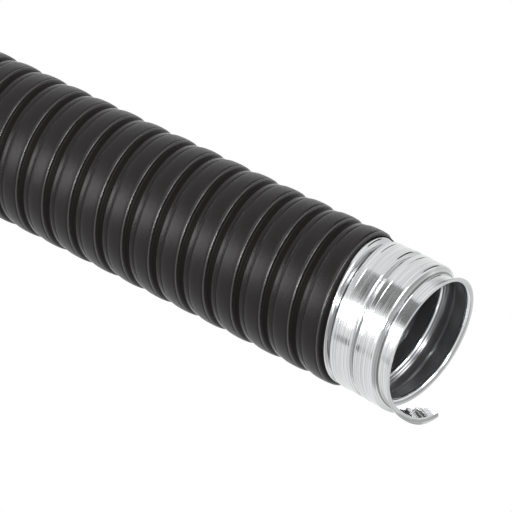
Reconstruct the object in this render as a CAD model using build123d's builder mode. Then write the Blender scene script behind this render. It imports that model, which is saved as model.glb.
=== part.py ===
"""Flexible metal conduit with a PVC sheath: a wound steel strip inside a waved tube.

The conduit stands on its square cut end, on the plane Z = 0, with its bare steel mouth up.
All sizes are in millimetres, and angles are about +Z, counted from +X towards +Y.
"""
import math
import os

from build123d import *

# Lengths along the conduit
LENGTH = 304.8
BARE_LENGTH = 39.5
PITCH = 13.0

# Sheath section
SHEATH_CREST_RADIUS = 30.0
SHEATH_WALL = 1.5
SHEATH_CREST_WIDTH = 7.6
SHEATH_GROOVE_WIDTH = 1.6
SHEATH_GROOVE_DEPTH = 1.1

# Sheath cut beside the bare steel: it leans to follow the groove on one side
SHEATH_CUT_LEAN = 6.5
SHEATH_CUT_LEAN_ANGLE = 20.0

# Strip section
STRIP_THICKNESS = 0.4
STRIP_HEIGHT = 3.1
STRIP_END_ANGLE = 40.0
TONGUE_ANGLE = 52.0
TONGUE_WIDTH = 3.6
OUTER_GROOVE = 3.1
WEB_RUN = 2.0
INNER_FLAT = 8.4

# Gaps between the pieces and between the turns
STRIP_TO_SHEATH = 0.2
HOOK_TO_FLAT = 0.3

# The sheath's winding is made in this many sectors a turn
SECTORS = 2

# Radii, heights and widths that follow from the sizes above
sheath_bore_radius = SHEATH_CREST_RADIUS - SHEATH_WALL
strip_outer_radius = sheath_bore_radius - STRIP_TO_SHEATH
hook_height = STRIP_HEIGHT - 2 * STRIP_THICKNESS - HOOK_TO_FLAT
outer_flat = PITCH - OUTER_GROOVE
sheath_top = LENGTH - BARE_LENGTH


def winding(radius, turns):
    """A right-hand helix about the Z axis that starts at Z = 0."""
    return Helix(pitch=PITCH, height=PITCH * turns, radius=radius)


def start_angle(helix):
    """The angle at which a helix starts."""
    start = helix @ 0
    return math.degrees(math.atan2(start.Y, start.X))


def section_plane(helix):
    """The plane of a wound section: its x points outwards and its y upwards."""
    start = helix @ 0
    outwards = Vector(start.X, start.Y, 0).normalized()
    return Plane(origin=start, x_dir=outwards, z_dir=outwards.cross(Vector(0, 0, 1)))


def wound_section(outline, end_angle, mouth_height, turns):
    """A thin folded section, wound so that its leading edge ends at an angle and a height."""
    with BuildPart() as wound:
        with BuildLine():
            path = winding(strip_outer_radius, turns)
        with BuildSketch(section_plane(path)):
            with BuildLine():
                Polyline(*outline)
            trace(line_width=STRIP_THICKNESS)
        sweep(is_frenet=True)
    turned = end_angle - start_angle(path) - 360 * turns
    return wound.part.moved(Location((0, 0, mouth_height - PITCH * turns), (0, 0, turned)))


def side_faces(piece):
    """The wound faces of a piece, without the flat ones where it was cut through."""
    return [face for face in piece.faces() if face.geom_type != GeomType.PLANE]


def wound_strip():
    """The strip as one solid: its torn end, then turn after turn of faces down to the floor."""
    outside = -STRIP_THICKNESS / 2
    inside = STRIP_THICKNESS / 2 - STRIP_HEIGHT
    front = -STRIP_THICKNESS / 2
    web_foot = -INNER_FLAT
    web_top = web_foot - WEB_RUN
    rear = web_top - outer_flat
    hook = [(inside, front), (inside + hook_height, front)]
    s_section = [
        (outside - hook_height, rear),
        (outside, rear),
        (outside, web_top),
        (inside, web_foot),
    ]
    full_end = LENGTH - PITCH * TONGUE_ANGLE / 360
    turn = wound_section(s_section + hook, STRIP_END_ANGLE - TONGUE_ANGLE, full_end, 1)
    tongue = wound_section(
        [(inside, -TONGUE_WIDTH)] + hook, STRIP_END_ANGLE, LENGTH, TONGUE_ANGLE / 360
    )
    highest_cut_turn = math.floor((full_end + rear) / PITCH)
    lowest_turn = math.floor(full_end / PITCH)

    torn_end = turn + tongue
    flat_faces = torn_end.faces().filter_by(GeomType.PLANE).sort_by(Axis.Z)
    faces = side_faces(torn_end) + flat_faces[1:]
    for lower in range(1, highest_cut_turn):
        faces += [face.moved(Pos(0, 0, -PITCH * lower)) for face in side_faces(turn)]
    for lower in range(highest_cut_turn, lowest_turn + 1):
        with BuildPart() as trimmed:
            add(turn.moved(Pos(0, 0, -PITCH * lower)))
            split(bisect_by=Plane.XY, keep=Keep.TOP)
        faces += side_faces(trimmed.part)
        faces += [face for face in trimmed.faces() if abs(face.normal_at().Z) > 0.999]
    return Solid(Shell(faces))


def sheath_sector(sector, waves):
    """One sector of the sheath's winding: its section, some waves high, swept part of a turn."""
    flank_run = (PITCH - SHEATH_CREST_WIDTH - SHEATH_GROOVE_WIDTH) / 2
    outline = [(0, 0)]
    for wave in range(waves):
        foot = wave * PITCH
        outline += [
            (0, foot + SHEATH_CREST_WIDTH),
            (-SHEATH_GROOVE_DEPTH, foot + SHEATH_CREST_WIDTH + flank_run),
            (-SHEATH_GROOVE_DEPTH, foot + PITCH - flank_run),
            (0, foot + PITCH),
        ]
    outline += [(-SHEATH_WALL, waves * PITCH), (-SHEATH_WALL, 0)]
    with BuildPart() as wedge:
        with BuildLine():
            path = winding(SHEATH_CREST_RADIUS, 1 / SECTORS)
        with BuildSketch(section_plane(path)):
            with BuildLine():
                Polyline(*outline, close=True)
            make_face()
        sweep(is_frenet=True)
    turned = sector / SECTORS
    return wedge.part.moved(
        Location((0, 0, PITCH * turned), (0, 0, 360 * turned - start_angle(path)))
    )


def is_skin(face):
    """True for a wound face of the sheath's outside or bore, not for one through its wall."""
    radii = [math.hypot(corner.X, corner.Y) for corner in face.vertices()]
    depth = max(radii) - min(radii)
    return face.geom_type != GeomType.PLANE and depth < (SHEATH_GROOVE_DEPTH + SHEATH_WALL) / 2


def cut_end(start, plane, keep):
    """The sheath's faces near one end: three waves of its skin, cut by a plane, and the cut."""
    faces = []
    for sector in range(SECTORS):
        blank = sheath_sector(sector, waves=3).moved(Pos(0, 0, start))
        with BuildPart() as trimmed:
            add(blank)
            split(bisect_by=plane, keep=keep)
        faces += [
            face
            for face in trimmed.faces()
            if is_skin(face) or abs(face.normal_at().dot(plane.z_dir)) > 0.999
        ]
    return faces


def waved_sheath():
    """The sheath as one tube: its waves follow the strip, so its grooves lie over the strip's."""
    strip_groove = LENGTH - INNER_FLAT - WEB_RUN + OUTER_GROOVE / 2 - PITCH * STRIP_END_ANGLE / 360
    first_crest = strip_groove - (PITCH + SHEATH_CREST_WIDTH) / 2
    lowest_turn = math.floor(-first_crest / PITCH) - 1
    highest_turn = round((sheath_top - first_crest) / PITCH) - 2

    lean = SHEATH_CUT_LEAN / (2 * SHEATH_CREST_RADIUS)
    lean_angle = math.radians(SHEATH_CUT_LEAN_ANGLE)
    top_cut = Plane(
        origin=(0, 0, sheath_top),
        z_dir=(-lean * math.cos(lean_angle), -lean * math.sin(lean_angle), 1),
    )

    faces = cut_end(first_crest + PITCH * lowest_turn, Plane.XY, Keep.TOP)
    faces += cut_end(first_crest + PITCH * highest_turn, top_cut, Keep.BOTTOM)
    for sector in range(SECTORS):
        skin = sheath_sector(sector, waves=1).faces().filter_by(is_skin)
        for turn in range(lowest_turn + 3, highest_turn):
            faces += [face.moved(Pos(0, 0, first_crest + PITCH * turn)) for face in skin]
    return Solid(Shell(faces))


os.makedirs("parts", exist_ok=True)

# The galvanised steel strip, wound into an interlocked tube and cut off square at the foot
with BuildPart() as steel_strip:
    add(wound_strip())
steel_strip.part.label = "steel_strip"
export_step(steel_strip.part, "parts/steel_strip.step")

# The black PVC sheath, one tube that follows the waves of the steel
with BuildPart() as pvc_sheath:
    add(waved_sheath())
pvc_sheath.part.label = "pvc_sheath"
export_step(pvc_sheath.part, "parts/pvc_sheath.step")

for piece in (steel_strip.part, pvc_sheath.part):
    box = piece.bounding_box()
    print(piece.label, "valid", piece.is_valid, "volume", round(piece.volume), box.min, box.max)
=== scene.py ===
# %% [markdown]
# # A flexible metal conduit, stripped at one end
#
# The real thing is a hose of steel that electric cables are drawn through. One long galvanised
# strip is rolled to an S section and wound as a right-hand helix, each turn hooked into the next,
# and a black PVC sheath is extruded over it. Here the sheath has been stripped from one end, and
# the strip's last turn was torn off, which leaves a ragged tongue.
#
# Blender's Screw modifier could wind both pieces from a drawn section. They are worked out point
# by point instead, because the bare turns are bent, slipped and torn, each in a way of its own.
#
# The conduit stands on its square cut end, so Z is also its axis. The camera is turned on its
# side, so that the conduit lies across the picture.

# %% [markdown]
# ## The frame
#
# A plain solid model of the same conduit comes first. It is loaded and measured, so that the
# detailed pieces below take its place and size.

# %% Load the frame
import math

import bmesh
import bpy
import numpy as np
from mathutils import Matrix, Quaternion, Vector, noise


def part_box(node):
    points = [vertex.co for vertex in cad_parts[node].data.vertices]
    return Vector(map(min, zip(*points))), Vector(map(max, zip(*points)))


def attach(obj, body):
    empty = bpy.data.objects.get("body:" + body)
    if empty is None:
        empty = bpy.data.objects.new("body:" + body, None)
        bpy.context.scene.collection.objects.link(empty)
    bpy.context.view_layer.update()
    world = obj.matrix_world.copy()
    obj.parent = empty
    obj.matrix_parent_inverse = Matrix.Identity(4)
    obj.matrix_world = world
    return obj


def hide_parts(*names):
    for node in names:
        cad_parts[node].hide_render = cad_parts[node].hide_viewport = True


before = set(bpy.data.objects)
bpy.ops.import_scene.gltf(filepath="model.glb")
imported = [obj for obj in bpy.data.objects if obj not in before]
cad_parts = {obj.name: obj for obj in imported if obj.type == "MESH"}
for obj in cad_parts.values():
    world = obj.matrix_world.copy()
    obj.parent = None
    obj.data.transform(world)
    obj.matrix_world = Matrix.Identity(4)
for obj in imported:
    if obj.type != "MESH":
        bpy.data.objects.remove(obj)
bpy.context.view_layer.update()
print("solid pieces", sorted(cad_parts))

# %% [markdown]
# ## Sizes
#
# Radii and heights are read from the solids' boxes. The pitch, which is how far the winding climbs
# in one turn, and the angle where it ends are the solids' own values. Blender counts in metres,
# so millimetres are written as a number times MM. Angles are about Z, from +X towards +Y.
#
# The grooves of the sheath, the strip and the tongue all follow one helix. Its height at an angle
# could be worked out in each place, but one function does it for all, so that they stay in step.

# %% Sizes
MM = 0.001
FULL_TURN = 2 * math.pi
PITCH = 13.0 * MM
STRIP_END_ANGLE = math.radians(40.0)

sheath_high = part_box("pvc_sheath")[1]
strip_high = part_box("steel_strip")[1]
crest_radius = sheath_high.x
strip_radius = strip_high.x
mouth = strip_high.z
print("sheath radius", round(crest_radius, 4), "strip radius", round(strip_radius, 4))
print("mouth at a height of", round(mouth, 4))


def helix_height(angle, behind=0.0):
    """The height, at an angle, of a line that is wound behind the strip's front edge."""
    return mouth - behind + PITCH * (angle - STRIP_END_ANGLE) / FULL_TURN


# %% [markdown]
# ## From points to a mesh
#
# A wound skin is a grid: one line of points for each step round the helix, joined to the next line
# by four-sided faces. Points that fall together are welded. Faces are shaded smooth, and only
# folds sharper than 60 degrees stay crisp, as the cut edges of sheet steel are.
#
# Each face corner also keeps how far it lies along and across the winding, in metres, as its UV
# place. Unwrapping could make a UV map too, but it wouldn't know the winding. This one lets roll
# lines and grain follow the helix.

# %% Mesh helper
SHARP_ANGLE = math.radians(60.0)
WELD_DISTANCE = 0.002 * MM


def make_object(name, vertices, faces, corners, material, slot):
    """A smooth-shaded mesh object, welded, with a UV map along and across the winding."""
    mesh = bpy.data.meshes.new(name)
    mesh.from_pydata(vertices, [], faces)
    layer = mesh.uv_layers.new(name="winding")
    layer.data.foreach_set("uv", [value for corner in corners for value in corner])
    shell = bmesh.new()
    shell.from_mesh(mesh)
    bmesh.ops.remove_doubles(shell, verts=shell.verts, dist=WELD_DISTANCE)
    bmesh.ops.dissolve_degenerate(shell, edges=shell.edges, dist=WELD_DISTANCE)
    bmesh.ops.recalc_face_normals(shell, faces=shell.faces)
    shell.to_mesh(mesh)
    shell.free()
    mesh.materials.append(material)
    mesh.shade_smooth()
    mesh.set_sharp_from_angle(angle=SHARP_ANGLE)
    made = bpy.data.objects.new(name, mesh)
    bpy.context.scene.collection.objects.link(made)
    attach(made, "root")
    print(name, "vertices", len(mesh.vertices), "faces", len(mesh.polygons))
    return made


# %% [markdown]
# ## Building blocks for the finishes
#
# A finish could be a painted picture, but that blurs from near by. Here each one is a few shader
# nodes fed by noise, which stays sharp at any distance. The helpers below make one kind of node
# each and hand on its output, so that a finish reads like a recipe.

# %% Node helpers
NOISE_LOW = 0.3
NOISE_HIGH = 0.7


def new_material(name):
    """A node material, its nodes and its links."""
    material = bpy.data.materials.new(name)
    material.use_nodes = True
    return material, material.node_tree.nodes, material.node_tree.links


def remap(nodes, links, source, low, high, from_low=NOISE_LOW, from_high=NOISE_HIGH):
    """A value carried from one range to another, and kept within it."""
    ranged = nodes.new("ShaderNodeMapRange")
    ranged.inputs["From Min"].default_value = from_low
    ranged.inputs["From Max"].default_value = from_high
    ranged.inputs["To Min"].default_value = low
    ranged.inputs["To Max"].default_value = high
    links.new(source, ranged.inputs["Value"])
    return ranged.outputs["Result"]


def calculated(nodes, links, operation, *values):
    """The result of a calculation with numbers or other nodes' outputs."""
    made = nodes.new("ShaderNodeMath")
    made.operation = operation
    for socket, value in zip(made.inputs, values):
        if isinstance(value, float):
            socket.default_value = value
        else:
            links.new(value, socket)
    return made.outputs["Value"]


def value_mix(nodes, links, factor, first, second):
    """A value that goes by a factor from another node's output to a number."""
    mixed = nodes.new("ShaderNodeMix")
    mixed.inputs["B"].default_value = second
    links.new(factor, mixed.inputs["Factor"])
    links.new(first, mixed.inputs["A"])
    return mixed.outputs["Result"]


def colour_mix(nodes, links, factor, first, second):
    """A colour that goes by a factor from one, or from another node's output, to a second one."""
    mixed = nodes.new("ShaderNodeMixRGB")
    if isinstance(first, tuple):
        mixed.inputs["Color1"].default_value = (*first, 1.0)
    else:
        links.new(first, mixed.inputs["Color1"])
    mixed.inputs["Color2"].default_value = (*second, 1.0)
    links.new(factor, mixed.inputs["Fac"])
    return mixed.outputs["Color"]


def add_bump(nodes, links, height, depth, onto=None):
    """A bump of a depth in metres, laid over another bump if one is given."""
    made = nodes.new("ShaderNodeBump")
    made.inputs["Distance"].default_value = depth
    links.new(height, made.inputs["Height"])
    if onto is not None:
        links.new(onto, made.inputs["Normal"])
    return made.outputs["Normal"]


print("noise is read between", NOISE_LOW, "and", NOISE_HIGH)

# %% [markdown]
# ## Noise and lines that follow the winding
#
# Two more helpers read the UV map. One makes noise that is stretched along the winding, as the
# marks of rolls and dies are. The other marks a line that is wound round the piece, for what the
# real thing has at one place of its section only, such as a rubbed edge. Painted masks would do
# that too, but a number for the line's place is easier to move.

# %% Helpers that follow the winding
BAND_CORE = 0.4


def winding_place(nodes):
    """How far along and across the winding a point of the surface lies."""
    place = nodes.new("ShaderNodeUVMap")
    place.uv_map = "winding"
    return place.outputs["UV"]


def winding_noise(nodes, links, along, across, detail):
    """Noise that follows the winding, with so many waves a metre along and across it."""
    stretch = nodes.new("ShaderNodeMapping")
    stretch.inputs["Scale"].default_value = (along, across, 1.0)
    links.new(winding_place(nodes), stretch.inputs["Vector"])
    texture = nodes.new("ShaderNodeTexNoise")
    texture.inputs["Scale"].default_value = 1.0
    texture.inputs["Detail"].default_value = detail
    links.new(stretch.outputs["Vector"], texture.inputs["Vector"])
    return texture.outputs["Fac"]


def distance_across(nodes, links):
    """How far across the winding a point of the surface lies."""
    split = nodes.new("ShaderNodeSeparateXYZ")
    links.new(winding_place(nodes), split.inputs["Vector"])
    return split.outputs["Y"]


def band_mask(nodes, links, middle, half_width):
    """A value that is 1 along a line wound on the surface and fades to 0 beside it."""
    offset = calculated(nodes, links, "SUBTRACT", distance_across(nodes, links), middle)
    away = calculated(nodes, links, "ABSOLUTE", offset)
    return remap(nodes, links, away, 1.0, 0.0, BAND_CORE * half_width, half_width)


print("a band is whole over the middle", BAND_CORE, "of its width")

# %% [markdown]
# ## Galvanised steel
#
# Bright zinc on rolled strip is nearly a mirror. The rolls leave fine lines along the strip, which
# smear each reflection across it. A line of painted shade darkens the foot of the web, low in the
# groove, and the face towards the bore is duller than the outside, with painted shade darkening
# its colour.
#
# An anisotropic shader would smear reflections too, but it has no lines to see from near by. So
# long thin noise makes the lines in the colour and in two very shallow bumps. Distances are
# counted round the section, from the tip of the rear hook.

# %% The steel's finish
# waves a metre along and across the winding, and how much finer detail
ROLL_LINES = (22.0, 2600.0, 3.0)
ROLL_BANDS = (7.0, 700.0, 2.0)
MOTTLE = (120.0, 420.0, 3.0)
ROLL_LINE_DEPTH = 0.014 * MM
ROLL_BAND_DEPTH = 0.03 * MM
# the range of the line noise over which the zinc goes from dark to bright
LINE_TONES = (0.36, 0.6)
DARK_ZINC = (0.53, 0.54, 0.545)
BRIGHT_ZINC = (0.74, 0.75, 0.755)
ZINC_ROUGHNESS = (0.12, 0.19)
# painted shade: a darker grey in a line at the foot of the web, low in the groove
WEB_FOOT_SHADE_GREY = (0.28, 0.28, 0.28)
WEB_FOOT_SHADE_LINE = 15.0 * MM
WEB_FOOT_SHADE_HALF = 0.6 * MM
# the face towards the bore: painted shade makes its colour darker, and it is also rougher
INNER_FACE_SHADE_ZINC = (0.40, 0.40, 0.41)
DULL_ROUGHNESS = 0.28
INNER_FACE_START = 26.0 * MM
INNER_FACE_FULL = 27.0 * MM


def galvanised_steel():
    """Bright galvanised strip with fine lengthwise roll lines."""
    material, nodes, links = new_material("steel_finish")
    shader = nodes["Principled BSDF"]
    shader.inputs["Metallic"].default_value = 1.0
    fine = winding_noise(nodes, links, *ROLL_LINES)
    broad = winding_noise(nodes, links, *ROLL_BANDS)
    mottle = winding_noise(nodes, links, *MOTTLE)
    tone = remap(nodes, links, fine, 0.0, 1.0, *LINE_TONES)
    roll_line_zinc = colour_mix(nodes, links, tone, DARK_ZINC, BRIGHT_ZINC)
    # painted shade: the darker grey is mixed in along the foot of the web
    web_foot_shade = band_mask(nodes, links, WEB_FOOT_SHADE_LINE, WEB_FOOT_SHADE_HALF)
    web_foot_shaded = colour_mix(nodes, links, web_foot_shade, roll_line_zinc, WEB_FOOT_SHADE_GREY)
    # painted shade: the face towards the bore is given a darker colour; its roughness rises there
    # too
    inner = remap(nodes, links, distance_across(nodes, links), 0.0, 1.0, INNER_FACE_START, INNER_FACE_FULL)
    links.new(colour_mix(nodes, links, inner, web_foot_shaded, INNER_FACE_SHADE_ZINC), shader.inputs["Base Color"])
    mottled = remap(nodes, links, mottle, *ZINC_ROUGHNESS)
    roughness = value_mix(nodes, links, inner, mottled, DULL_ROUGHNESS)
    links.new(roughness, shader.inputs["Roughness"])
    lines = add_bump(nodes, links, fine, ROLL_LINE_DEPTH)
    bands = add_bump(nodes, links, broad, ROLL_BAND_DEPTH, lines)
    links.new(bands, shader.inputs["Normal"])
    return material


steel_material = galvanised_steel()
print(steel_material.name, "nodes", len(steel_material.node_tree.nodes))

# %% [markdown]
# ## Black PVC
#
# The sheath is a satin black. Extrusion leaves a fine grain and faint drag lines along the
# winding, and handling has polished the ridge at the crest's edge and the low shoulder.
#
# A black this deep has almost no colour to show, so what is seen of it is gloss. That is why the
# gloss and the roughness vary here and the colour hardly does: bright on the ridge, satin on the
# crest, and turned down in the groove as painted shade. Distances are heights above the groove.

# %% The sheath's finish
# waves a metre along and across the winding, and how much finer detail
GRAIN = (2200.0, 2200.0, 3.0)
DRAG_LINES = (14.0, 1200.0, 2.0)
GRAIN_DEPTH = 0.1 * MM
DRAG_DEPTH = 0.02 * MM
DEEP_BLACK = (0.0045, 0.0035, 0.0035)
SOFT_BLACK = (0.0105, 0.0087, 0.0087)
GRAIN_ROUGHNESS = (0.24, 0.44)
BURNISHED_ROUGHNESS = 0.1
CREST_GLOSS = 0.20
# painted shade: the groove's gloss is turned down so that the groove reads dark
GROOVE_SHADE_GLOSS = 0.02
EDGE_GLOSS = 0.85
EDGE_LINE = 11.1 * MM
EDGE_HALF = 0.5 * MM
SHOULDER_LINE = 2.6 * MM
SHOULDER_HALF = 0.9 * MM
GROOVE_HALF = 1.9 * MM


def black_pvc():
    """Black extruded PVC with a satin grain, burnished along its edges."""
    material, nodes, links = new_material("pvc_finish")
    shader = nodes["Principled BSDF"]
    grain = winding_noise(nodes, links, *GRAIN)
    drag = winding_noise(nodes, links, *DRAG_LINES)
    tone = remap(nodes, links, grain, 0.0, 1.0)
    links.new(colour_mix(nodes, links, tone, DEEP_BLACK, SOFT_BLACK), shader.inputs["Base Color"])
    edge = band_mask(nodes, links, EDGE_LINE, EDGE_HALF)
    shoulder = band_mask(nodes, links, SHOULDER_LINE, SHOULDER_HALF)
    groove_above = band_mask(nodes, links, PITCH, GROOVE_HALF)
    groove_below = band_mask(nodes, links, 0.0, GROOVE_HALF)
    groove = calculated(nodes, links, "MAXIMUM", groove_below, groove_above)
    # painted shade: gloss falls to almost nothing in the groove
    gloss_with_groove_shade = remap(nodes, links, groove, CREST_GLOSS, GROOVE_SHADE_GLOSS, 0.0, 1.0)
    gloss = value_mix(nodes, links, edge, gloss_with_groove_shade, EDGE_GLOSS)
    links.new(gloss, shader.inputs["Specular IOR Level"])
    burnished = calculated(nodes, links, "MAXIMUM", edge, shoulder)
    satin = remap(nodes, links, grain, *GRAIN_ROUGHNESS)
    roughness = value_mix(nodes, links, burnished, satin, BURNISHED_ROUGHNESS)
    links.new(roughness, shader.inputs["Roughness"])
    grained = add_bump(nodes, links, grain, GRAIN_DEPTH)
    links.new(add_bump(nodes, links, drag, DRAG_DEPTH, grained), shader.inputs["Normal"])
    return material


pvc_material = black_pvc()
print(pvc_material.name, "nodes", len(pvc_material.node_tree.nodes))

# %% [markdown]
# ## The sheath's profile
#
# The sheath follows the waves of the steel inside it. Going up from a groove there is a low
# shoulder that ends in a fine step, then the broad crest, a shallow notch, and a small ridge at
# the crest's edge, before the wall drops into the next groove.
#
# The profile could be drawn as a curve and swept along a helix. A table of its points is simpler
# here, because the sheath's radius depends only on the height above the groove.

# %% The sheath's profile
# height above the groove and depth below the crest, in millimetres
SHEATH_PROFILE = [
    (0.0, 1.36),
    (0.60, 1.34),
    (0.90, 1.22),
    (1.10, 1.04),
    (1.30, 0.88),
    (1.55, 0.78),
    (2.00, 0.70),
    (2.60, 0.64),
    (3.20, 0.64),
    (3.50, 0.70),
    (3.68, 0.80),
    (3.86, 0.68),
    (4.10, 0.44),
    (4.50, 0.27),
    (5.40, 0.12),
    (7.00, 0.02),
    (8.80, 0.01),
    (9.90, 0.04),
    (10.30, 0.10),
    (10.52, 0.30),
    (10.70, 0.30),
    (10.90, 0.14),
    (11.10, 0.13),
    (11.28, 0.26),
    (11.42, 0.56),
    (11.56, 0.94),
    (11.75, 1.24),
    (12.10, 1.36),
]
profile_steps = len(SHEATH_PROFILE)
profile_rises = [rise * MM for rise, depth in SHEATH_PROFILE] + [PITCH]
profile_depths = [depth * MM for rise, depth in SHEATH_PROFILE] + [SHEATH_PROFILE[0][1] * MM]
print("profile points", profile_steps, "groove depth", round(max(profile_depths), 5))

# %% [markdown]
# ## The sheath's cut
#
# The sheath was cut round by hand, so its edge leans and swells a little at one side. A Boolean
# modifier could cut the tube with a tilted block, but its new edges would cross the fine grid,
# and it would cut flat. The height of the cut is worked out at each angle instead.

# %% The sheath's cut
CUT_LEAN = 6.5 * MM
CUT_LEAN_ANGLE = math.radians(20.0)
CUT_SWELL = 1.4 * MM
CUT_SWELL_ANGLE = math.radians(-80.0)
CUT_SWELL_REACH = math.radians(75.0)

lean = CUT_LEAN / (2 * crest_radius)
sheath_top = sheath_high.z - lean * crest_radius


def smoothstep(value):
    """A smooth rise from 0 to 1 as a value goes from 0 to 1."""
    value = min(max(value, 0.0), 1.0)
    return value * value * (3 - 2 * value)


def cut_height(angle):
    """The height of the sheath's leaning cut at an angle, a little higher beside one side."""
    away = abs(math.remainder(angle - CUT_SWELL_ANGLE, FULL_TURN))
    swell = CUT_SWELL * smoothstep(1.0 - away / CUT_SWELL_REACH)
    return sheath_top + lean * crest_radius * math.cos(angle - CUT_LEAN_ANGLE) + swell


print("the cut is at", round(sheath_top, 4), "and leans by", round(2 * lean * crest_radius, 4))

# %% [markdown]
# ## The sheath's skin
#
# Each column of points goes straight up the outside at one angle, and the radius at each height
# is read off the profile. The profile starts a little higher in each next column, so the groove
# winds by itself. Points below the floor or above the cut are drawn back onto them and welded,
# and one point in the bore at each end closes the tube.

# %% The sheath's skin
SHEATH_COLUMNS = 168
SHEATH_WALL = 1.5 * MM
SHEATH_GROOVE_BEHIND_FRONT = 8.85 * MM

lowest_groove = helix_height(0.0, SHEATH_GROOVE_BEHIND_FRONT)
lowest_groove -= PITCH * (math.ceil(lowest_groove / PITCH) + 1)
sheath_turns = math.ceil((sheath_high.z - lowest_groove) / PITCH)


def sheath_column(column):
    """The points of one column: up the outside, with a point of the bore at each end."""
    angle = FULL_TURN * column / SHEATH_COLUMNS
    groove = lowest_groove + PITCH * column / SHEATH_COLUMNS
    bore = crest_radius - SHEATH_WALL
    roof = cut_height(angle)
    line = [(bore, 0.0)]
    for row in range(sheath_turns * profile_steps + 1):
        height = groove + PITCH * (row // profile_steps) + profile_rises[row % profile_steps]
        height = min(max(height, 0.0), roof)
        rise = (height - groove) % PITCH
        depth = float(np.interp(rise, profile_rises, profile_depths))
        line.append((crest_radius - depth, height))
    line.append((bore, roof))
    return [(r * math.cos(angle), r * math.sin(angle), height) for r, height in line]


def sheath_face_corners(column, row):
    """Where the corners of one face lie along and across the winding."""
    turn, step = divmod(max(row - 1, 0), profile_steps)
    left = (FULL_TURN * turn + FULL_TURN * column / SHEATH_COLUMNS) * crest_radius
    right = left + FULL_TURN / SHEATH_COLUMNS * crest_radius
    low, high = profile_rises[step], profile_rises[step + 1]
    return [(left, low), (right, low), (right, high), (left, high)]


def wound_sheath():
    """The sheath's outside, its two cut rings and its bore, as one closed skin."""
    vertices, faces, corners = [], [], []
    for column in range(SHEATH_COLUMNS + 1):
        vertices += sheath_column(column)
    count = sheath_turns * profile_steps + 3
    for column in range(SHEATH_COLUMNS):
        first, second = column * count, (column + 1) * count
        for row in range(count):
            above = (row + 1) % count
            faces.append((first + row, second + row, second + above, first + above))
            corners += sheath_face_corners(column, row)
    return make_object("sheath", vertices, faces, corners, pvc_material, "black_pvc")


sheath = wound_sheath()
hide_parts("pvc_sheath")
print("sheath turns", sheath_turns, "columns", SHEATH_COLUMNS)

# %% [markdown]
# ## Folded sheet steel
#
# Rolls can't fold steel to a sharp corner. Each fold of the strip has a radius of up to about a
# millimetre, and those small curves catch the bright lines in the photograph.
#
# A Bevel modifier could round a sharp section after it is wound, but it would work on every edge
# of a very long mesh. Rounding the section once, before it is wound, costs nothing. A point just
# beside each fold keeps the flats next to it flat in smooth shading. The thin sheet is then made
# by stepping half its thickness to both sides of its centreline.

# %% Section helpers
FOLD_SUPPORT = 0.15 * MM
FOLD_STEPS = 3


def rounded_line(points, radii):
    """A line through some points, its corners rounded, with a point beside each fold's ends."""
    line = [tuple(points[0])]
    for before, corner, after, radius in zip(points, points[1:], points[2:], radii):
        here = Vector(corner)
        back = (Vector(before) - here).normalized()
        ahead = (Vector(after) - here).normalized()
        half = back.angle(ahead) / 2
        centre = here + (back + ahead).normalized() * (radius / math.sin(half))
        first = here + back * (radius / math.tan(half)) - centre
        last = here + ahead * (radius / math.tan(half)) - centre
        line.append(tuple(centre + first + back * FOLD_SUPPORT))
        for step in range(FOLD_STEPS + 1):
            arm = first.lerp(last, step / FOLD_STEPS)
            line.append(tuple(centre + arm.normalized() * radius))
        line.append(tuple(centre + last + ahead * FOLD_SUPPORT))
    line.append(tuple(points[-1]))
    return line


def sheet_outline(centreline, thickness):
    """The closed outline of a thin sheet that follows a centreline."""
    line = [Vector(point) for point in centreline]
    outer, inner = [], []
    for index, point in enumerate(line):
        along = line[min(index + 1, len(line) - 1)] - line[max(index - 1, 0)]
        side = Vector((-along.y, along.x)).normalized() * thickness / 2
        outer.append(tuple(point + side))
        inner.append(tuple(point - side))
    return outer + inner[::-1]


print("points in a fold", FOLD_STEPS + 3)

# %% [markdown]
# ## The strip's section
#
# Cut across, the strip is an S. From its rear there is a hook, the outer flat with a fine step in
# it, a sloping web, the inner flat, and a hook at the front that stands inside the rear hook of
# the turn in front. It is given as a few corners, each with a fold radius, so that a size can be
# changed by itself. Heights count back from the front edge, and depths in from the outside.

# %% The strip's section
STRIP_THICKNESS = 0.4 * MM
STRIP_HEIGHT = 3.1 * MM
OUTER_GROOVE = 3.1 * MM
WEB_RUN = 2.0 * MM
INNER_FLAT = 6.4 * MM
HOOK_HEIGHT = 2.0 * MM
STEP_FROM_REAR = 2.6 * MM
STEP_RUN = 0.25 * MM
STEP_DEPTH = 0.14 * MM
REAR_FOLD = 0.6 * MM
STEP_FOLD = 0.1 * MM
WEB_FOLD = 0.9 * MM
FOOT_FOLD = 0.7 * MM
FRONT_FOLD = 1.1 * MM

outside = -STRIP_THICKNESS / 2
inside = STRIP_THICKNESS / 2 - STRIP_HEIGHT
front = -STRIP_THICKNESS / 2
web_foot = -INNER_FLAT
web_top = web_foot - WEB_RUN
rear = web_top - (PITCH - OUTER_GROOVE)


def strip_outline():
    """The outline of the S section, as heights and depths."""
    points = [
        (rear, outside - HOOK_HEIGHT),
        (rear, outside),
        (rear + STEP_FROM_REAR, outside),
        (rear + STEP_FROM_REAR + STEP_RUN, outside - STEP_DEPTH),
        (web_top, outside),
        (web_foot, inside),
        (front, inside),
        (front, inside + HOOK_HEIGHT),
    ]
    folds = [REAR_FOLD, STEP_FOLD, STEP_FOLD, WEB_FOLD, FOOT_FOLD, FRONT_FOLD]
    return sheet_outline(rounded_line(points, folds), STRIP_THICKNESS)


full_outline = strip_outline()
print("section points", len(full_outline), "from rear to front", round(front - rear, 5))

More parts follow.
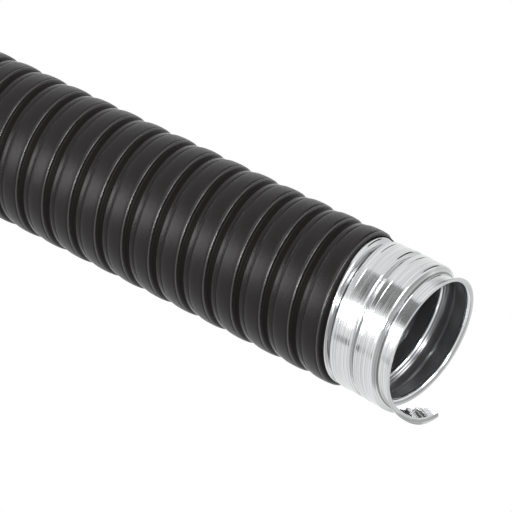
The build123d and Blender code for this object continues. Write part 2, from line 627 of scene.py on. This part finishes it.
# %% [markdown]
# ## How the bare end has shifted
#
# Out of the sheath the turns are free. They bend a little towards the viewer and spread a little
# wider. The last turn has slipped back over the one behind it, and the torn tongue at its end
# has sprung out again.
#
# A Simple Deform modifier could bend the end, but it can't slip one turn against another. Here
# every point asks two functions how far it has moved, and each movement starts smoothly, so no
# kink shows.

# %% The bare end's shift
BARE_BEND = math.radians(9.0)
BEND_TOWARDS = math.radians(-50.0)
SLIP = 1.4 * MM
REAR_SHARE = 0.6
SPRING = 1.2 * MM
# the angles, in degrees, between which the slip grows and between which the tongue springs out
SLIP_FROM, SLIP_TO = -340, -200
SPRING_FROM, SPRING_TO = -10, 25

bend_start = sheath_top
bend_radius = (mouth - bend_start) / BARE_BEND
bend_side = Vector((math.cos(BEND_TOWARDS), math.sin(BEND_TOWARDS), 0.0))


def rise_between(angle, first, last):
    """A smooth rise from 0 to 1 between two angles, which are in degrees."""
    return smoothstep((math.degrees(angle) - first) / (last - first))


def bend(x, y, z):
    """Where a point of the straight conduit sits once its bare end is bent."""
    if z <= bend_start:
        return x, y, z
    across = Vector((x, y, 0.0))
    towards = across.dot(bend_side)
    turned = (z - bend_start) / bend_radius
    reach = bend_radius - towards
    moved = across + bend_side * (bend_radius - reach * math.cos(turned) - towards)
    return moved.x, moved.y, bend_start + reach * math.sin(turned)


def slip(angle, rise):
    """How far the last turn has moved along and outwards, at a height behind its front edge."""
    sprung = rise_between(angle, SPRING_FROM, SPRING_TO)
    back = SLIP * (rise_between(angle, SLIP_FROM, SLIP_TO) - sprung)
    share = REAR_SHARE + (1 - REAR_SHARE) * min((rise - rear) / (web_top - rear), 1.0)
    front_share = smoothstep((rise - web_top) / (web_foot - web_top))
    return -back * share, SPRING * sprung * front_share


print("the bend starts at", round(bend_start, 4), "with a radius of", round(bend_radius, 4))

# %% [markdown]
# ## Winding a section
#
# The strip is one section carried round and up the helix. A curve object with a bevel profile
# could do that, but it would give neither the slip nor the UV map. So the section's points are
# placed at each angle in turn, moved by the shifts above, and joined to those of the angle before.
# The section may change with the angle, which the tongue needs.

# %% Winding a section
RELAX = 0.4 * MM
RELAX_RUN = 8.0 * MM


def wound_points(outline, angle):
    """The places of an outline's points at an angle of the winding."""
    places = []
    for rise, depth in outline:
        along, outwards = slip(angle, rise)
        height = helix_height(angle) + rise + along
        relaxed = RELAX * smoothstep((height - bend_start) / RELAX_RUN)
        radius = strip_radius + depth + outwards + relaxed
        places.append(bend(radius * math.cos(angle), radius * math.sin(angle), height))
    return places


def wind(outline_at, angles):
    """The vertices, faces and UV corners of a closed outline wound along some angles."""
    vertices, faces, corners = [], [], []
    for angle in angles:
        outline = outline_at(angle)
        vertices += wound_points(outline, angle)
    count = len(outline)
    across = [0.0]
    for point in range(count):
        across.append(across[-1] + math.dist(outline[point], outline[(point + 1) % count]))
    for step in range(len(angles) - 1):
        left, right = angles[step] * strip_radius, angles[step + 1] * strip_radius
        first, second = step * count, (step + 1) * count
        for point in range(count):
            after = (point + 1) % count
            faces.append((first + point, first + after, second + after, second + point))
            low, high = across[point], across[point + 1]
            corners += [(left, low), (left, high), (right, high), (right, low)]
    faces.append(tuple(range(count)))
    faces.append(tuple(range(len(vertices) - count, len(vertices))))
    corners += [(0.0, value) for value in across[:-1]] * 2
    return vertices, faces, corners


print("the bare turns are wider by", RELAX)
print("the bend moves the mouth's middle to", [round(v, 4) for v in bend(0.0, 0.0, mouth)])

# %% [markdown]
# ## The full strip
#
# All turns are one piece of strip, so they are one mesh. Steps are few where the sheath hides the
# strip and many where it is bare, because small steps there keep the mirror-bright flats round,
# and few steps elsewhere keep the mesh light. It is wound from below the floor.

# %% The full strip
TONGUE_ANGLE = math.radians(32.0)
HIDDEN_STEPS = 40
BARE_STEPS = 90
BARE_TURNS = 4.5

full_end = STRIP_END_ANGLE - TONGUE_ANGLE
turns_above_floor = (mouth - rear) / PITCH
lowest_angle = full_end - FULL_TURN * turns_above_floor
bare_angle = full_end - FULL_TURN * BARE_TURNS
hidden_count = round((turns_above_floor - BARE_TURNS) * HIDDEN_STEPS)
bare_count = round(BARE_TURNS * BARE_STEPS)
strip_angles = list(np.linspace(lowest_angle, bare_angle, hidden_count, endpoint=False))
strip_angles += list(np.linspace(bare_angle, full_end, bare_count))
strip = make_object(
    "strip", *wind(lambda angle: full_outline, strip_angles), steel_material, "galvanised_steel"
)
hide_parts("steel_strip")
print("strip turns", round(turns_above_floor, 2), "sections", len(strip_angles))

# %% [markdown]
# ## The strip's square cut
#
# At its foot the conduit is cut off square, as with a saw. Ending each turn of the mesh at the
# floor by hand would be fiddly. Bisecting it with a plane does what the saw does: all that lies
# below the floor is dropped, and the rim that is left is closed with flat faces.

# %% The strip's square cut
cut = bmesh.new()
cut.from_mesh(strip.data)
everything = cut.verts[:] + cut.edges[:] + cut.faces[:]
section = bmesh.ops.bisect_plane(
    cut, geom=everything, plane_co=(0, 0, 0), plane_no=(0, 0, -1), clear_outer=True
)
rim = [edge for edge in section["geom_cut"] if isinstance(edge, bmesh.types.BMEdge)]
bmesh.ops.contextual_create(cut, geom=rim)
bmesh.ops.recalc_face_normals(cut, faces=cut.faces)
cut.to_mesh(strip.data)
cut.free()
print("strip faces above the floor", len(strip.data.polygons), "edges in the rim", len(rim))

# %% [markdown]
# ## The torn tongue
#
# Past the last full turn only the front of the strip is left: its hook and part of the inner
# flat, which narrow to a tip. The rest was torn away and left a ragged edge, and the tear twisted
# the flat out of line.
#
# The tears could be modelled one by one. Noise does it here, one slow wave for broad bites and
# one fast wave for fine ones, because no two torn ends are alike. The tongue is wound just as
# the strip is, but with an outline that changes with the angle.

# %% The torn tongue
# how far along the tongue, its width and the height of its hook, in millimetres
TONGUE_TAPER = [
    (0.0, 6.2, 2.0),
    (0.4, 6.2, 2.0),
    (0.6, 5.2, 2.0),
    (0.85, 3.4, 1.6),
    (1.0, 1.6, 1.0),
]
TEAR_DEPTH = 1.3 * MM
# bites along the tongue, and a row of the noise for each kind
BROAD_BITES, BROAD_ROW = 9.0, 0.3
FINE_BITES, FINE_ROW = 27.0, 1.7
FINE_SHARE = 0.6
TONGUE_TWIST = 1.5 * MM
TWIST_SPEED = 4.0
FOLD_SHARE = 0.8
TONGUE_STEPS = 60


def tear(past):
    """How far the torn edge stands out or in, as a share of its depth, along the tongue."""
    broad = noise.noise(Vector((past * BROAD_BITES, BROAD_ROW, 0.0)))
    fine = noise.noise(Vector((past * FINE_BITES, FINE_ROW, 0.0)))
    return broad + FINE_SHARE * fine


def tongue_outline(angle):
    """The tongue's outline at an angle: its hook, and the inner flat as far as the tear."""
    past = (angle - full_end) / TONGUE_ANGLE
    places, widths, heights = zip(*TONGUE_TAPER)
    width = float(np.interp(past, places, widths)) * MM + TEAR_DEPTH * tear(past)
    height = float(np.interp(past, places, heights)) * MM
    fold = min(FRONT_FOLD, FOLD_SHARE * height, FOLD_SHARE * width)
    twist = TONGUE_TWIST * smoothstep(TWIST_SPEED * past)
    points = [(-width, inside - twist), (front, inside), (front, inside + height)]
    return sheet_outline(rounded_line(points, [fold]), STRIP_THICKNESS)


tongue_angles = list(np.linspace(full_end, STRIP_END_ANGLE, TONGUE_STEPS))
make_object(
    "strip_tongue", *wind(tongue_outline, tongue_angles), steel_material, "galvanised_steel"
)
print("tongue length", round(TONGUE_ANGLE * strip_radius, 4))

# %% [markdown]
# ## Camera
#
# The photograph looks down on the conduit from its open end's side, through a long lens, so near
# and far turns look almost the same size. Laying the conduit down would give the same picture,
# but it has to stand. So the camera is rolled about its line of sight instead, which puts the
# mouth at the lower right.

# %% Camera
CAMERA_PLACE = Vector((0.0, -0.950, 0.687))
CAMERA_AIM = Vector((-0.0008, 0.0, 0.2153))
CAMERA_ROLL = math.radians(115.85)
FOCAL_LENGTH = 195.9

camera_data = bpy.data.cameras.new("camera")
camera_data.lens = FOCAL_LENGTH
camera = bpy.data.objects.new("camera", camera_data)
bpy.context.scene.collection.objects.link(camera)
view_line = CAMERA_AIM - CAMERA_PLACE
camera.location = CAMERA_PLACE
camera.rotation_mode = "QUATERNION"
roll = Quaternion(-view_line.normalized(), CAMERA_ROLL)
camera.rotation_quaternion = roll @ view_line.to_track_quat("-Z", "Y")
bpy.context.scene.camera = camera
print("camera at", [round(v, 3) for v in camera.location], "distance", round(view_line.length, 3))

# %% [markdown]
# ## Floor
#
# The conduit is shown on plain white, as in a shop's picture. More light would whiten a pale
# floor, but it would also bleach the steel. So the floor is matt and pale for the light, and a
# Light Path node makes it pure white only for the camera and for mirror reflections. Inside the
# conduit it stays matt, so that the bore is dark.

# %% Floor
FLOOR_HALF = 4.0
FLOOR_GREY = (0.8, 0.8, 0.8)
FLOOR_ROUGHNESS = 0.9


def show_white(nodes, links, seen, plain, white, output):
    """Sends an output the plain shader, or the white one for the rays that a mask names."""
    mixed = nodes.new("ShaderNodeMixShader")
    links.new(seen, mixed.inputs["Fac"])
    links.new(plain, mixed.inputs[1])
    links.new(white, mixed.inputs[2])
    links.new(mixed.outputs["Shader"], output.inputs["Surface"])


def white_floor():
    """A pale matt floor that the camera and gloss see as white, except in the bore."""
    material, nodes, links = new_material("floor_white")
    shader = nodes["Principled BSDF"]
    shader.inputs["Base Color"].default_value = (*FLOOR_GREY, 1.0)
    shader.inputs["Roughness"].default_value = FLOOR_ROUGHNESS
    glow = nodes.new("ShaderNodeEmission")
    path = nodes.new("ShaderNodeLightPath")
    place = nodes.new("ShaderNodeNewGeometry")
    from_axis = nodes.new("ShaderNodeVectorMath")
    from_axis.operation = "LENGTH"
    links.new(place.outputs["Position"], from_axis.inputs[0])
    beyond = calculated(nodes, links, "GREATER_THAN", from_axis.outputs["Value"], crest_radius)
    mirrored = calculated(nodes, links, "MULTIPLY", path.outputs["Is Glossy Ray"], beyond)
    seen = calculated(nodes, links, "MAXIMUM", path.outputs["Is Camera Ray"], mirrored)
    plain, white = shader.outputs["BSDF"], glow.outputs["Emission"]
    show_white(nodes, links, seen, plain, white, nodes["Material Output"])
    return material


def flat_sheet(name, width, depth, place, material):
    """A flat sheet of a width and depth, level, at a place."""
    mesh = bpy.data.meshes.new(name)
    corners = [(-width / 2, -depth / 2, 0), (width / 2, -depth / 2, 0)]
    corners += [(width / 2, depth / 2, 0), (-width / 2, depth / 2, 0)]
    mesh.from_pydata(corners, [], [(0, 1, 2, 3)])
    mesh.materials.append(material)
    made = bpy.data.objects.new(name, mesh)
    made.location = place
    bpy.context.scene.collection.objects.link(made)
    return made


floor = flat_sheet("floor", 2 * FLOOR_HALF, 2 * FLOOR_HALF, (0, 0, 0), white_floor())
print("floor", floor.data.materials[0].name, "width", 2 * FLOOR_HALF)

# %% [markdown]
# ## World
#
# Plain studio light comes from all round. A sky or a picture of a room would put patterns in the
# steel, so the world has one pale colour. As with the floor, the camera and gloss see it as
# white, while it lights the conduit more gently.

# %% World
WORLD_STRENGTH = 0.6
WORLD_COLOUR = (0.95, 0.95, 0.95)
WHITE = (1.0, 1.0, 1.0)


def studio_world():
    """An even pale light all round, which the camera and gloss see as plain white."""
    world = bpy.data.worlds.new("studio")
    world.use_nodes = True
    nodes, links = world.node_tree.nodes, world.node_tree.links
    light = nodes["Background"]
    light.inputs["Color"].default_value = (*WORLD_COLOUR, 1.0)
    light.inputs["Strength"].default_value = WORLD_STRENGTH
    backdrop = nodes.new("ShaderNodeBackground")
    backdrop.inputs["Color"].default_value = (*WHITE, 1.0)
    path = nodes.new("ShaderNodeLightPath")
    rays = path.outputs["Is Camera Ray"], path.outputs["Is Glossy Ray"]
    seen = calculated(nodes, links, "MAXIMUM", *rays)
    plain, white = light.outputs["Background"], backdrop.outputs["Background"]
    show_white(nodes, links, seen, plain, white, nodes["World Output"])
    return world


bpy.context.scene.world = studio_world()
print("world", bpy.context.scene.world.name, "strength", WORLD_STRENGTH)

# %% [markdown]
# ## Lights
#
# A black glossy sheath shows its shape only by what it mirrors, so lights are placed where its
# walls mirror them. Its upright walls mirror the floor in front, and two softboxes that lie there
# and face up give the broad sheen. Two high ones draw the fine bright lines along ridges and
# folds. Point lamps would give hard dots instead, so all four are large rectangles.

# %% Lights
# a point of the axis, two thirds of the way to the mouth, that the high lights face
UPPER_AXIS = (0.0, 0.0, 0.2)
# name, place, the point that it faces, width, depth, watts
SOFTBOXES = [
    ("front_low", (0.055, -0.32, 0.004), (0.055, -0.32, 1.0), 0.13, 0.38, 0.95),
    ("mouth_low", (0.14, -0.56, 0.004), (0.14, -0.56, 1.0), 0.33, 0.16, 1.3),
    ("side_high", (-0.80, -0.75, 0.85), UPPER_AXIS, 0.55, 1.0, 11.0),
    ("front_high", (0.0, -1.05, 0.95), UPPER_AXIS, 0.16, 0.9, 11.0),
]


def softbox(name, place, aim_at, width, depth, watts):
    """A rectangular soft light that faces a point and isn't seen itself."""
    data = bpy.data.lights.new(name, "AREA")
    data.shape = "RECTANGLE"
    data.size = width
    data.size_y = depth
    data.energy = watts
    made = bpy.data.objects.new(name, data)
    bpy.context.scene.collection.objects.link(made)
    made.location = place
    made.rotation_mode = "QUATERNION"
    made.rotation_quaternion = (Vector(aim_at) - Vector(place)).to_track_quat("-Z", "Y")
    made.visible_camera = False
    print("softbox", name, "watts", watts)


for row in SOFTBOXES:
    softbox(*row)

# %% [markdown]
# ## Cards
#
# Bright metal in an all-white room looks like white paper. A photographer sets up black and grey
# cards for it to mirror, and the same is done here. Two black ones lie on the floor beside the low
# softboxes, and a third stands where the tongue's inner face mirrors it. A grey one above shades
# the webs between the turns, and a paler one behind shades the lip of the mouth.

# %% Cards
CARD_BLACK = (0.01, 0.01, 0.01)
# name, grey, width, depth, place, and how far it is turned about X, Y and Z in degrees
CARDS = [
    ("black_card_left", 0.0, 0.44, 0.36, (-0.36, -0.51, 0.003), (0, 0, -35)),
    ("black_card_right", 0.0, 0.09, 0.20, (0.46, -0.34, 0.003), (0, 0, 54)),
    ("black_card_beside", 0.0, 0.24, 0.16, (-0.317, 0.148, 0.245), (90, 0, 65)),
    ("grey_card_above", 0.5, 1.3, 1.1, (0.0, 0.1, 0.9), (0, 0, 0)),
    ("pale_card_behind", 0.75, 2.4, 1.1, (0.0, 1.3, 0.75), (90, 0, 0)),
]


def card(name, grey, width, depth, place, turn):
    """A flat card of an even grey that the camera doesn't see."""
    material, nodes = new_material(name)[:2]
    shader = nodes["Principled BSDF"]
    shader.inputs["Base Color"].default_value = (*CARD_BLACK, 1.0)
    shader.inputs["Emission Color"].default_value = (grey, grey, grey, 1.0)
    shader.inputs["Emission Strength"].default_value = 1.0
    made = flat_sheet(name, width, depth, place, material)
    made.rotation_euler = [math.radians(angle) for angle in turn]
    made.visible_camera = False
    print("card", name, "grey", grey)


for row in CARDS:
    card(*row)

# %% [markdown]
# ## Plain colours
#
# Blender can bend colours as film does, which is pleasant for rooms but greys a white background.
# The Standard view shows each colour as it was worked out, so white stays white.

# %% Plain colours
bpy.context.scene.view_settings.view_transform = "Standard"
print("view", bpy.context.scene.view_settings.view_transform)
